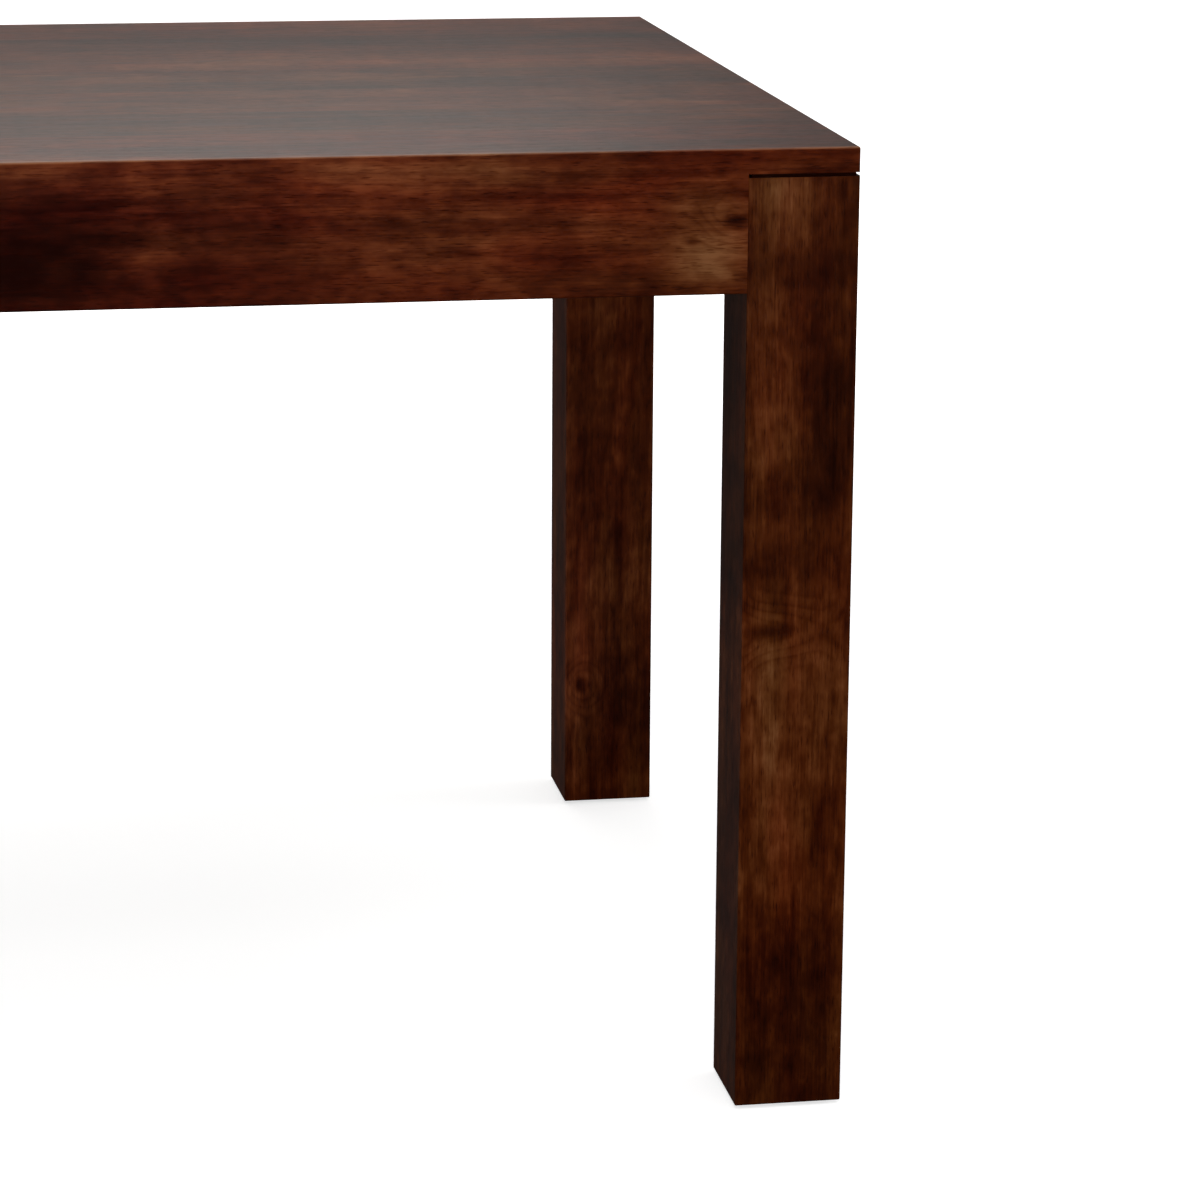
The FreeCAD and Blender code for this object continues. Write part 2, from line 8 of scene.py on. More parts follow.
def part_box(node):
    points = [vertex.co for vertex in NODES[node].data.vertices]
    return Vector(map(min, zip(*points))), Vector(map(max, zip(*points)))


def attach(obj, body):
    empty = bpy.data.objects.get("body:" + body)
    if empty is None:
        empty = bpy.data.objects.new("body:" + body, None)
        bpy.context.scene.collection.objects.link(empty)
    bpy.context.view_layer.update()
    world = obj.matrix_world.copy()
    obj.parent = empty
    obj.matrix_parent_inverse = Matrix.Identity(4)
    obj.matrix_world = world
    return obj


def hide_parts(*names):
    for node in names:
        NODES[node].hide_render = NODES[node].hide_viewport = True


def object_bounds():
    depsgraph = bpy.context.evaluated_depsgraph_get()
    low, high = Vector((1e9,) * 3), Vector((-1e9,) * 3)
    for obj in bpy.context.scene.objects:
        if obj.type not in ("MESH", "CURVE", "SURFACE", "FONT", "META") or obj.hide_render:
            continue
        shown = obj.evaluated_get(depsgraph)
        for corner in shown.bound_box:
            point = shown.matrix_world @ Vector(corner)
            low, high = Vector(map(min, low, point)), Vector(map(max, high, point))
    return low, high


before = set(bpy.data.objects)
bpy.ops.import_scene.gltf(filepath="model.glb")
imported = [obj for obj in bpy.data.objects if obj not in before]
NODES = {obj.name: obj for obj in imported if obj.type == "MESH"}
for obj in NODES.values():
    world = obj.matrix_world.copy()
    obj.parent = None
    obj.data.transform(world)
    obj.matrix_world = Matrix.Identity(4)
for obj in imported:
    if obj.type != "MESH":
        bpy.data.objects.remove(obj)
cad_low, cad_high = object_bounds()

# Dining table of dark stained wood, seen from the front near its right end. Metres, +Z up, front at -Y.

CORNERS = ("front_left", "front_right", "back_right", "back_left")
SIDES = ("front", "right", "back", "left")
BOARD_COUNT = sum(name.startswith("top_board_") for name in NODES)
UP = Vector((0, 0, 1))

# The camera stands in front of the table, measured from the floor under its front right corner.
CAMERA_OFFSET = Vector((-0.708, -2.896, 1.177))
CAMERA_YAW = math.radians(10.04)
CAMERA_PITCH = math.radians(14.45)
CAMERA_ROLL = math.radians(0.35)
CAMERA_LENS = 120.3
SENSOR = 36.0

# Lamps that light the wood and aren't mirrored in it: place, target, width and height, and power.
SOFT_LAMPS = {
    "key": ((0.35, -2.3, 2.6), (0.35, -0.45, 0.5), (2.2, 0.9), 14),
    "front_fill": ((-0.1, -4.6, 0.95), (0.4, 0, 0.45), (3.2, 1.4), 84),
    "back_fill": ((0, 4.6, 1.2), (0, 0, 0.45), (3.2, 1.4), 70),
    "right_fill": ((5.0, 0, 1.2), (0, 0, 0.45), (2.4, 1.4), 55),
    "left_fill": ((-5.0, 0, 1.2), (0, 0, 0.45), (2.4, 1.4), 25),
    "floor_bounce": ((0, 0, cad_low.z), (0, 0, cad_high.z), (1.5, 0.7), 3),
}
# Lamp that is only mirrored, for the sheen of the top, and the tint of that sheen: the warm white of a room.
STRIP_LAMP = ((-0.2, 1.3, 1.8), (0, -0.2, 0.76), (2.6, 0.3), 12.5)
SHEEN_TINT = (1.0, 0.965, 0.92)
# A wide panel overhead, as a sun: its strength, its angle across and its tilt to the front.
PANEL_STRENGTH = 0.9
PANEL_ANGLE = math.radians(70)
PANEL_TILT = math.radians(6)
# Light from all round: its strength low down and high up, and the slopes in between.
WORLD_GLOW = (0.04, 0.29)
WORLD_RISE = (0.02, 0.32)
# Floor: its shade, roughness and half width, and its glow under the table and away from it, with the
# distances from the middle in between.
FLOOR_SHADE = 0.86
FLOOR_ROUGHNESS = 0.8
FLOOR_REACH = 20.0
FLOOR_GLOW = (0.66, 1.0)
FLOOR_FADE = (1.3, 3.6)

# Turns that bring a grain direction onto the texture's X axis.
GRAIN_TURNS = {
    "x": Euler((0, 0, 0)),
    "y": Euler((0, 0, -math.pi / 2)),
    "z": Euler((0, math.pi / 2, 0)),
    "diagonal": Euler((0, 0, math.pi / 4)),
    "cross_diagonal": Euler((0, 0, -math.pi / 4)),
}

# Wandering of the grain: features a metre along and across it, noise detail, and reach.
GRAIN_BENDS = ((0.9, 3.0, 1.0, 0.09), (7.0, 28.0, 2.0, 0.010))
# Growth rings: how many to a metre, how many more or fewer where they are uneven, the changes of that to a
# metre with their noise detail, and the share of late wood through a ring.
RING_COUNT = 130.0
RING_UNEVENNESS = 3.0
RING_CHANGES = 45.0
RING_DETAIL = 1.0
LATE_WOOD = ((0.0, 0.35), (0.12, 0.0), (0.55, 0.18), (0.86, 1.0), (1.0, 0.35))
# Layers of the figure: features a metre along and across the grain, noise detail and roughness, whether the
# layer bends with the grain, and its weight in the tone.
FIGURE_LAYERS = {
    "clouds": (1.6, 11.0, 2.0, 0.5, False, 0.75),
    "blotches": (9.0, 24.0, 2.0, 0.5, True, 0.65),
    "streaks": (3.0, 85.0, 3.0, 0.6, True, 0.45),
    "flecks": (55.0, 120.0, 2.0, 0.6, True, 0.62),
    "curl": (38.0, 9.0, 1.0, 0.5, False, 0.3),
    "fibres": (22.0, 620.0, 2.0, 0.6, False, 0.45),
}
# Pores, and the change from red to yellow: features a metre along and across the grain, and noise detail.
# A pore opens between two levels of its noise.
PORE_NOISE = (90.0, 1100.0, 1.0)
PORE_LEVELS = ((0.6, 0.0), (0.72, 1.0))
WARMTH_NOISE = (6.0, 30.0, 2.0)
# Tone of plain wood, what late wood and pores take from it, and the relief of fibres, pores and late wood.
BASE_TONE = 0.54
LATE_WOOD_TONE = -0.10
PORE_TONE = -0.24
FIBRE_RELIEF = 0.5
PORE_RELIEF = -0.8
LATE_WOOD_RELIEF = 0.25

# Stain colours from the darkest heartwood to the palest sapwood, as (place on the ramp, linear colour).
STAIN = (
    (0.0, (0.013, 0.0016, 0.0003)),
    (0.28, (0.039, 0.0053, 0.0007)),
    (0.5, (0.080, 0.0140, 0.0019)),
    (0.7, (0.140, 0.0320, 0.0066)),
    (1.0, (0.260, 0.0810, 0.0260)),
)
RAW = (
    (0.0, (0.110, 0.046, 0.018)),
    (0.3, (0.185, 0.086, 0.036)),
    (0.5, (0.260, 0.132, 0.060)),
    (0.7, (0.340, 0.188, 0.094)),
    (1.0, (0.450, 0.280, 0.155)),
)
# Finishes of the wood: its colours and its roughness.
LACQUERED = (STAIN, 0.42)
PLANED = (RAW, 0.7)
# Green and blue that warmth adds, the roughness that relief adds, and the bump.
GREEN_SLOPE = 1.1
BLUE_SLOPE = 1.6
ROUGHNESS_SLOPE = -0.12
BUMP_STRENGTH = 0.35
BUMP_HEIGHT = 0.0003
# End grain: what it takes from the tone, and how fast that fades as a face turns along the grain.
END_GRAIN_TONE = -0.12
END_GRAIN_FADE = 3.0

# Stretches of the figure that the pieces take: where number 0 of a kind starts along the grain, and how far
# on the next one does.
FIGURE_STARTS = {
    "plank": (20, 9),
    "board": (0, 3.1),
    "end_apron": (40, 5),
    "leg": (50, 4),
    "cleat": (80, 1),
    "cross_rail": (90, 1),
    "corner_block": (100, 1),
}
# Pieces cut from one plank, so that the figure runs on across their joint, and the place of its pith.
PLANKS = {
    "front_plank": (("apron_front", "top_board_1"), (0, 0.06, -0.03)),
    "back_plank": (("apron_back", f"top_board_{BOARD_COUNT}"), (0, -0.06, -0.03)),
}
PLANK_WARMTH = -0.2
# Inner boards, front to back: place of the pith across and below the board, tone and warmth.
BOARD_WOOD = (
    (-0.005, -0.085, -0.08, 0.05),
    (0.001, -0.087, 0.08, -0.02),
    (0.013, -0.103, -0.03, 0.10),
    (-0.041, -0.105, 0.06, -0.08),
    (0.048, -0.117, -0.10, -0.12),
)
# Legs: place of the pith along and across the table, tone and warmth.
LEG_WOOD = {
    "front_left": (-0.041, 0.031, -0.05, 0.0),
    "front_right": (0.0034, 0.033, -0.07, 0.1),
    "back_right": (-0.037, 0.042, 0.0, 0.0),
    "back_left": (-0.056, 0.053, 0.0, 0.0),
}
# Other pieces: place of the pith from the middle of the piece.
END_APRON_PITHS = {"left": (0.05, 0, 0.03), "right": (-0.05, 0, 0.03)}
CLEAT_PITH = (0.03, 0.03, 0.02)
RAIL_PITH = (0.05, 0, 0.02)
BLOCK_PITH = (0.02, 0.02, 0.03)

# Marks on a front face: distance in from the right end, height above the floor, half width and half
# height, and for a patch its change of tone and of warmth. Most patches are figure in the wood; some on the
# legs are painted shade and painted light, as marked below.
PATCHES = {
    "front_plank": (
        (0.345, 0.747, 0.15, 0.026, 0.33, -0.05),
        (0.63, 0.685, 0.26, 0.085, -0.48, -0.15),
        (0.536, 0.685, 0.045, 0.024, 0.34, 0.0),
        (0.435, 0.710, 0.10, 0.045, -0.26, 0.0),
        (0.317, 0.700, 0.09, 0.055, 0.12, 0.0),
        (0.118, 0.681, 0.055, 0.036, 0.44, 0.35),
        (0.128, 0.691, 0.010, 0.005, -0.35, 0.0),
        (0.118, 0.722, 0.05, 0.022, 0.04, 0.3),
    ),
    "leg_front_right": (
        (0.055, 0.716, 0.05, 0.05, 0.20, 0.0),
        (0.072, 0.525, 0.012, 0.11, 0.18, 0.0),
        (0.02, 0.56, 0.044, 0.14, -0.30, 0.0),
        (0.05, 0.36, 0.06, 0.12, 0.17, 0.0),
        # Painted shade: the next two darken the foot of the leg towards the floor.
        (0.053, 0.12, 0.024, 0.036, -0.24, 0.0),
        (0.045, 0.09, 0.07, 0.16, -0.17, 0.0),
    ),
    "leg_back_right": (
        # Painted light: the upper back leg made lighter where the top and the front apron shade it.
        (0.045, 0.55, 0.06, 0.26, 0.10, 0.0),
        # Painted shade: the foot of the back leg darker towards the floor.
        (0.045, 0.08, 0.06, 0.14, -0.12, 0.0),
    ),
}
KNOTS = {
    "front_plank": ((0.094, 0.7065, 0.013, 0.009),),
    "leg_front_right": ((0.064, 0.389, 0.028, 0.011),),
    "leg_back_right": ((0.07, 0.121, 0.010, 0.012),),
}
MARK_DEPTH = 0.04
# Tone of a knot's heart, and the swirl of rings round it: how many times as wide, its tone, and its shift
# in rings.
HEART_TONE = -0.45
SWIRL_SCALE = 3.2
SWIRL_TONE = 0.08
SWIRL_RINGS = 3.5

# Half width of the dark line that the stain leaves in the joints between the boards, and its tone.
JOINT_LINE = 0.0007
JOINT_TONE = -0.2
# Height of the painted shade in the shadow gap at the head of each leg, and its tone.
NECK_SHADE_HEIGHT = 0.00286
NECK_SHADE_TONE = -0.6

# Upper rim of the long sides, with a painted highlight along its eased edge: its reach inwards and down, and
# how much paler and less red it is. It is patchy, as stain rubbed thin would be: features a metre along and
# across with their noise detail, and the mean and the swing of the patches.
RIM_HIGHLIGHT_INWARDS = 0.011
RIM_HIGHLIGHT_DOWN = 0.0022
RIM_HIGHLIGHT_TONE = 0.5
RIM_HIGHLIGHT_WARMTH = 0.45
RIM_HIGHLIGHT_NOISE = (4.0, 4.0, 2.0)
RIM_HIGHLIGHT_MEAN = 0.8
RIM_HIGHLIGHT_SWING = 1.6

# Hanger bolts: pitch, depth and length of the thread at the nut and of the thread in the leg, the chamfer at
# the nut end and the point, and the points round a bolt and the rings of points to a turn of thread.
NUT_THREAD = (0.00125, 0.00068, 0.016)
WOOD_THREAD = (0.0032, 0.0010, 0.046)
BOLT_CHAMFER = 0.001
BOLT_POINT = 0.006
BOLT_SIDES = 16
TURN_RINGS = 6

# Zinc on steel and dull plastic: scale and detail of their noise, the ramps that follow it, and what is the
# same all over.
ZINC_NOISE = (350.0, 4.0)
ZINC_COLOURS = ((0.3, (0.42, 0.41, 0.38)), (0.7, (0.68, 0.67, 0.63)))
ZINC_ROUGHNESS = ((0.3, 0.48), (0.7, 0.3))
ZINC_METALLIC = 0.65
PLASTIC_NOISE = (900.0, 3.0)
PLASTIC_COLOURS = ((0.3, (0.018, 0.012, 0.009)), (0.7, (0.034, 0.025, 0.019)))
PLASTIC_ROUGHNESS = 0.6
PLASTIC_BUMP_STRENGTH = 0.2
PLASTIC_BUMP_HEIGHT = 0.0002


def shader_node(tree, kind, inputs=None, **settings):
    """Adds a node, sets its options, and fills its sockets with values or with other nodes' sockets."""
    made = tree.nodes.new(kind)
    for key, setting in settings.items():
        setattr(made, key, setting)
    for key, filling in (inputs or {}).items():
        if isinstance(filling, bpy.types.NodeSocket):
            tree.links.new(filling, made.inputs[key])
        else:
            made.inputs[key].default_value = filling
    return made


def calc(tree, operation, first, second=0.0, third=0.0):
    filled = {0: first, 1: second, 2: third}
    return shader_node(tree, "ShaderNodeMath", filled, operation=operation).outputs[0]


def add_scaled(tree, total, part, weight):
    """The total with so much of the part added."""
    return calc(tree, "MULTIPLY_ADD", part, weight, total)


def vector_calc(tree, operation, first, second=(0, 0, 0)):
    filled = {0: first, 1: second}
    return shader_node(tree, "ShaderNodeVectorMath", filled, operation=operation).outputs[0]


def vector_length(tree, vector):
    return shader_node(tree, "ShaderNodeVectorMath", {0: vector}, operation="LENGTH").outputs["Value"]


def component(tree, vector, axis):
    return shader_node(tree, "ShaderNodeSeparateXYZ", {0: vector}).outputs[axis]


def eased(tree, value, from_range, to_range):
    """The value carried over from one range to another, with soft ends and no change beyond them."""
    filled = {"Value": value, 1: from_range[0], 2: from_range[1], 3: to_range[0], 4: to_range[1]}
    return shader_node(tree, "ShaderNodeMapRange", filled, interpolation_type="SMOOTHSTEP").outputs["Result"]


def ramp(tree, factor, stops):
    made = shader_node(tree, "ShaderNodeValToRGB", {"Fac": factor})
    elements = made.color_ramp.elements
    while len(elements) < len(stops):
        elements.new(0.5)
    for element, (place, colour) in zip(elements, stops):
        element.position = place
        element.color = (*colour, 1.0) if isinstance(colour, tuple) else (colour, colour, colour, 1.0)
    return made.outputs["Color"]


def noise_node(tree, where, along, across, detail, roughness=0.5):
    """Noise with so many features a metre along and across the grain."""
    scaled = vector_calc(tree, "MULTIPLY", where, (along, across, across))
    filled = {"Vector": scaled, "Scale": 1.0, "Detail": detail, "Roughness": roughness}
    return shader_node(tree, "ShaderNodeTexNoise", filled)


def centred_noise(tree, where, along, across, detail, roughness=0.5):
    noise = noise_node(tree, where, along, across, detail, roughness)
    return calc(tree, "SUBTRACT", noise.outputs["Fac"], 0.5)


def object_place(tree):
    """Place on a piece, which is also its place in the room, because every piece has its origin there."""
    return shader_node(tree, "ShaderNodeTexCoord").outputs["Object"]


def bent_grain(group, where):
    """The place in the wood, moved sideways as the grain wanders."""
    bent = where
    for along, across, detail, reach in GRAIN_BENDS:
        noise = noise_node(group, where, along, across, detail).outputs["Color"]
        centred = vector_calc(group, "SUBTRACT", noise, (0.5, 0.5, 0.5))
        moved = vector_calc(group, "MULTIPLY", centred, (0, reach, reach))
        bent = vector_calc(group, "ADD", bent, moved)
    return bent


def growth_rings(group, bent, ring_shift):
    """Share of late wood in the rings about the X axis."""
    radius = vector_length(group, vector_calc(group, "MULTIPLY", bent, (0, 1, 1)))
    filled = {"W": radius, "Scale": RING_CHANGES, "Detail": RING_DETAIL}
    uneven = shader_node(group, "ShaderNodeTexNoise", filled, noise_dimensions="1D").outputs["Fac"]
    rings = add_scaled(group, calc(group, "MULTIPLY", uneven, RING_UNEVENNESS), radius, RING_COUNT)
    rings = calc(group, "ADD", rings, ring_shift)
    return ramp(group, calc(group, "FRACT", rings), LATE_WOOD)


def figure_group():
    """Node group for solid wood: grain along X, growth rings about the X axis.

    Gives the tone, from dark to pale around a half, the warmth, from red to yellow around nothing, and the
    height of the surface."""
    group = bpy.data.node_groups.new("wood_figure", "ShaderNodeTree")
    group.interface.new_socket("Vector", in_out="INPUT", socket_type="NodeSocketVector")
    group.interface.new_socket("Ring Shift", in_out="INPUT", socket_type="NodeSocketFloat")
    for name in ("Tone", "Warmth", "Height"):
        group.interface.new_socket(name, in_out="OUTPUT", socket_type="NodeSocketFloat")
    entry = group.nodes.new("NodeGroupInput")
    where = entry.outputs["Vector"]
    bent = bent_grain(group, where)
    late_wood = growth_rings(group, bent, entry.outputs["Ring Shift"])
    pore_noise = centred_noise(group, where, *PORE_NOISE)
    pores = ramp(group, calc(group, "ADD", pore_noise, 0.5), PORE_LEVELS)

    tone = BASE_TONE
    layers = {}
    for name, (along, across, detail, roughness, bends, weight) in FIGURE_LAYERS.items():
        layers[name] = centred_noise(group, bent if bends else where, along, across, detail, roughness)
        tone = add_scaled(group, tone, layers[name], weight)
    tone = add_scaled(group, tone, late_wood, LATE_WOOD_TONE)
    tone = add_scaled(group, tone, pores, PORE_TONE)

    relief = calc(group, "MULTIPLY", pores, PORE_RELIEF)
    relief = add_scaled(group, relief, layers["fibres"], FIBRE_RELIEF)
    relief = add_scaled(group, relief, late_wood, LATE_WOOD_RELIEF)
    group_end = group.nodes.new("NodeGroupOutput")
    group.links.new(tone, group_end.inputs["Tone"])
    group.links.new(centred_noise(group, bent, *WARMTH_NOISE), group_end.inputs["Warmth"])
    group.links.new(relief, group_end.inputs["Height"])
    return group


def bumped(tree, relief, strength, distance):
    """The surface's normal, tilted by its relief."""
    filled = {"Height": relief, "Strength": strength, "Distance": distance}
    return shader_node(tree, "ShaderNodeBump", filled).outputs["Normal"]


def new_material(name):
    material = bpy.data.materials.new(name)
    material.use_nodes = True
    material.node_tree.nodes.clear()
    return material, material.node_tree


def finish(tree, **inputs):
    """The shader with its inputs filled, joined to the output."""
    named = {name.replace("_", " "): filling for name, filling in inputs.items()}
    surface = shader_node(tree, "ShaderNodeBsdfPrincipled", named)
    output = shader_node(tree, "ShaderNodeOutputMaterial")
    tree.links.new(surface.outputs["BSDF"], output.inputs["Surface"])


def middle(node_name):
    low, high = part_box(node_name)
    return (low + high) / 2


def marks_on(name, carrier, table):
    """Centre, radii and any changes of each mark on the front face of a piece."""
    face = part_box(carrier)[0].y
    for from_right, height, half_width, half_height, *changes in table.get(name, ()):
        centre = Vector((cad_high.x - from_right, face, cad_low.z + height))
        yield centre, Vector((half_width, MARK_DEPTH, half_height)), changes


def spot(tree, position, centre, radii):
    """A soft-edged ellipsoid: one at its centre, nothing from its radii outwards."""
    away = vector_calc(tree, "SUBTRACT", position, centre)
    distance = vector_length(tree, vector_calc(tree, "DIVIDE", away, radii))
    return eased(tree, distance, (0.0, 1.0), (1.0, 0.0))


def end_grain(tree, turn):
    """One where the surface cuts straight across the grain, nothing along it."""
    normal = shader_node(tree, "ShaderNodeTexCoord").outputs["Normal"]
    turned = shader_node(tree, "ShaderNodeMapping", {"Vector": normal, "Rotation": turn}).outputs["Vector"]
    return calc(tree, "POWER", calc(tree, "ABSOLUTE", component(tree, turned, "X")), END_GRAIN_FADE)


def painted_rim_highlight(tree, position):
    """Painted highlight: one at the upper edges of the long sides, nothing from its reach onwards."""
    top_middle = Vector(((cad_low.x + cad_high.x) / 2, (cad_low.y + cad_high.y) / 2, cad_high.z))
    away = vector_calc(tree, "ABSOLUTE", vector_calc(tree, "SUBTRACT", position, top_middle))
    inset = vector_calc(tree, "SUBTRACT", cad_high - top_middle, away)
    inwards = calc(tree, "DIVIDE", component(tree, inset, "Y"), RIM_HIGHLIGHT_INWARDS)
    down = calc(tree, "DIVIDE", component(tree, inset, "Z"), RIM_HIGHLIGHT_DOWN)
    squares = add_scaled(tree, calc(tree, "POWER", down, 2.0), inwards, inwards)
    near = eased(tree, calc(tree, "SQRT", squares), (0.0, 1.0), (1.0, 0.0))
    noise = centred_noise(tree, position, *RIM_HIGHLIGHT_NOISE)
    return calc(tree, "MULTIPLY", near, add_scaled(tree, RIM_HIGHLIGHT_MEAN, noise, RIM_HIGHLIGHT_SWING))


def joint_lines(tree, position, carrier):
    """One in the joints of an inner top board with its neighbours, nothing beside them."""
    number = int(carrier.rsplit("_", 1)[1])
    depth = component(tree, position, "Y")
    lines = 0.0
    for board in (number, number + 1):
        away = calc(tree, "ABSOLUTE", calc(tree, "SUBTRACT", depth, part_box(f"top_board_{board}")[0].y))
        lines = calc(tree, "ADD", lines, calc(tree, "LESS_THAN", away, JOINT_LINE))
    return lines


def neck_painted_shade(tree, position, carrier):
    """Painted shade: one in the shadow gap at the head of a leg, nothing below it."""
    return calc(tree, "GREATER_THAN", component(tree, position, "Z"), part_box(carrier)[1].z - NECK_SHADE_HEIGHT)


def placed_figure(tree, position, turn, pith, start):
    """The wood's figure with its grain turned, its pith at a place, and a stretch chosen by its start."""
    offset = Vector((start, 0, 0)) - turn.to_matrix() @ pith
    filled = {"Vector": position, "Location": offset, "Rotation": turn}
    mapped = shader_node(tree, "ShaderNodeMapping", filled).outputs["Vector"]
    return shader_node(tree, "ShaderNodeGroup", {"Vector": mapped}, node_tree=FIGURE)


def add_patches(tree, position, name, carrier, tone, warm):
    for centre, radii, (tone_step, warm_step) in marks_on(name, carrier, PATCHES):
        patch = spot(tree, position, centre, radii)
        tone = add_scaled(tree, tone, patch, tone_step)
        warm = add_scaled(tree, warm, patch, warm_step)
    return tone, warm


def add_knots(tree, position, name, carrier, tone, figure):
    """Dark hearts in the tone, with the rings of the figure swirling round them."""
    shift = 0.0
    for centre, radii, _ in marks_on(name, carrier, KNOTS):
        swirl = spot(tree, position, centre, SWIRL_SCALE * radii)
        tone = add_scaled(tree, tone, spot(tree, position, centre, radii), HEART_TONE)
        tone = add_scaled(tree, tone, swirl, SWIRL_TONE)
        shift = add_scaled(tree, shift, swirl, SWIRL_RINGS)
    if name in KNOTS:
        tree.links.new(shift, figure.inputs["Ring Shift"])
    return tone


def stain_colour(tree, tone, warm, stops):
    """Colour of a tone, with the green and blue that its warmth adds."""
    green = add_scaled(tree, 1.0, warm, GREEN_SLOPE)
    blue = add_scaled(tree, 1.0, warm, BLUE_SLOPE)
    tint = shader_node(tree, "ShaderNodeCombineXYZ", {"X": 1.0, "Y": green, "Z": blue}).outputs[0]
    return vector_calc(tree, "MULTIPLY", ramp(tree, tone, stops), tint)


def wood_material(name, carrier, grain, pith, start, coat, tone_shift=0.0, warm_shift=0.0):
    """Solid wood, its pith at an offset from the middle of the carrier, with the marks of its name."""
    stops, roughness = coat
    material, tree = new_material(name)
    position = object_place(tree)
    turn = GRAIN_TURNS[grain]
    figure = placed_figure(tree, position, turn, middle(carrier) + Vector(pith), start)
    rim_highlight = painted_rim_highlight(tree, position)

    tone = calc(tree, "ADD", figure.outputs["Tone"], tone_shift)
    tone = add_scaled(tree, tone, end_grain(tree, turn), END_GRAIN_TONE)
    # Painted highlight on the upper rim: paler and less red.
    tone = add_scaled(tree, tone, rim_highlight, RIM_HIGHLIGHT_TONE)
    warm = calc(tree, "ADD", figure.outputs["Warmth"], warm_shift)
    warm = add_scaled(tree, warm, rim_highlight, RIM_HIGHLIGHT_WARMTH)
    # Patches: figure in the wood, and on the legs also painted shade and painted light.
    tone, warm = add_patches(tree, position, name, carrier, tone, warm)
    tone = add_knots(tree, position, name, carrier, tone, figure)
    if carrier.startswith("top_board_"):
        tone = add_scaled(tree, tone, joint_lines(tree, position, carrier), JOINT_TONE)
    # Legs get painted shade in the shadow gap at their heads.
    if carrier.startswith("leg_"):
        tone = add_scaled(tree, tone, neck_painted_shade(tree, position, carrier), NECK_SHADE_TONE)

    relief = figure.outputs["Height"]
    finish(tree, Base_Color=stain_colour(tree, tone, warm, stops),
           Roughness=add_scaled(tree, roughness, relief, ROUGHNESS_SLOPE),
           Normal=bumped(tree, relief, BUMP_STRENGTH, BUMP_HEIGHT))
    return material


def dress(node_name, material):
    mesh = NODES[node_name].data
    mesh.materials.clear()
    mesh.materials.append(material)


def figure_start(kind, number):
    first, step = FIGURE_STARTS[kind]
    return first + step * number


def dress_planks():
    """The long aprons with the boards above them."""
    for number, (name, (pieces, pith)) in enumerate(PLANKS.items()):
        plank = wood_material(name, pieces[0], "x", pith, figure_start("plank", number), LACQUERED,
                              warm_shift=PLANK_WARMTH)
        for piece in pieces:
            dress(piece, plank)


def dress_boards():
    for number, (across, below, tone_shift, warm_shift) in enumerate(BOARD_WOOD, start=2):
        name = f"top_board_{number}"
        start = figure_start("board", number)
        board = wood_material(name, name, "x", (0, across, below), start, LACQUERED, tone_shift, warm_shift)
        dress(name, board)


def dress_end_aprons():
    for number, (side, pith) in enumerate(END_APRON_PITHS.items()):
        name = f"apron_{side}"
        dress(name, wood_material(name, name, "y", pith, figure_start("end_apron", number), LACQUERED))


def dress_legs():
    for number, (corner, (along, across, tone_shift, warm_shift)) in enumerate(LEG_WOOD.items()):
        name = f"leg_{corner}"
        start = figure_start("leg", number)
        leg = wood_material(name, name, "z", (along, across, 0), start, LACQUERED, tone_shift, warm_shift)
        dress(name, leg)


def dress_inner_wood():
    """Cleats, cross rails and corner blocks: thinly stained and without lacquer."""
    for number, side in enumerate(SIDES):
        name = f"cleat_{side}"
        grain = "x" if side in ("front", "back") else "y"
        dress(name, wood_material(name, name, grain, CLEAT_PITH, figure_start("cleat", number), PLANED))
    for number, side in enumerate(("left", "centre", "right")):
        name = f"cross_rail_{side}"
        dress(name, wood_material(name, name, "y", RAIL_PITH, figure_start("cross_rail", number), PLANED))
    for number, corner in enumerate(CORNERS):
        name = f"corner_block_{corner}"
        grain = "diagonal" if number % 2 == 0 else "cross_diagonal"
        start = figure_start("corner_block", number)
        dress(name, wood_material(name, name, grain, BLOCK_PITH, start, PLANED))


def even_noise(tree, scale, detail):
    """Noise alike in all directions."""
    filled = {"Vector": object_place(tree), "Scale": scale, "Detail": detail}
    return shader_node(tree, "ShaderNodeTexNoise", filled).outputs["Fac"]


def steel_material():
    material, tree = new_material("zinc_steel")
    clouds = even_noise(tree, *ZINC_NOISE)
    finish(tree, Base_Color=ramp(tree, clouds, ZINC_COLOURS), Roughness=ramp(tree, clouds, ZINC_ROUGHNESS),
           Metallic=ZINC_METALLIC)
    return material


def plastic_material():
    material, tree = new_material("glide_plastic")
    grain = even_noise(tree, *PLASTIC_NOISE)
    finish(tree, Base_Color=ramp(tree, grain, PLASTIC_COLOURS), Roughness=PLASTIC_ROUGHNESS,
           Normal=bumped(tree, grain, PLASTIC_BUMP_STRENGTH, PLASTIC_BUMP_HEIGHT))
    return material


def span(points, direction):
    """Lowest and highest reach of some points along a direction."""
    reaches = [point.dot(direction) for point in points]
    return min(reaches), max(reaches)


def bolt_axes():
    """Nut end, direction, length and radius of each hanger bolt, one in each octant about their middle."""
    points = [vertex.co for vertex in NODES["hanger_bolts"].data.vertices]
    centre = middle("hanger_bolts")
    for signs in itertools.product((-1, 1), repeat=3):
        bolt = [point for point in points
                if all(sign * away > 0 for sign, away in zip(signs, point - centre))]
        outwards = Vector((signs[0], signs[1], 0)).normalized()
        sideways = UP.cross(outwards)
        near, far = span(bolt, outwards)
        left, right = span(bolt, sideways)
        low, high = span(bolt, UP)
        nut_end = near * outwards + (left + right) / 2 * sideways + (low + high) / 2 * UP
        yield nut_end, outwards, far - near, (high - low) / 2


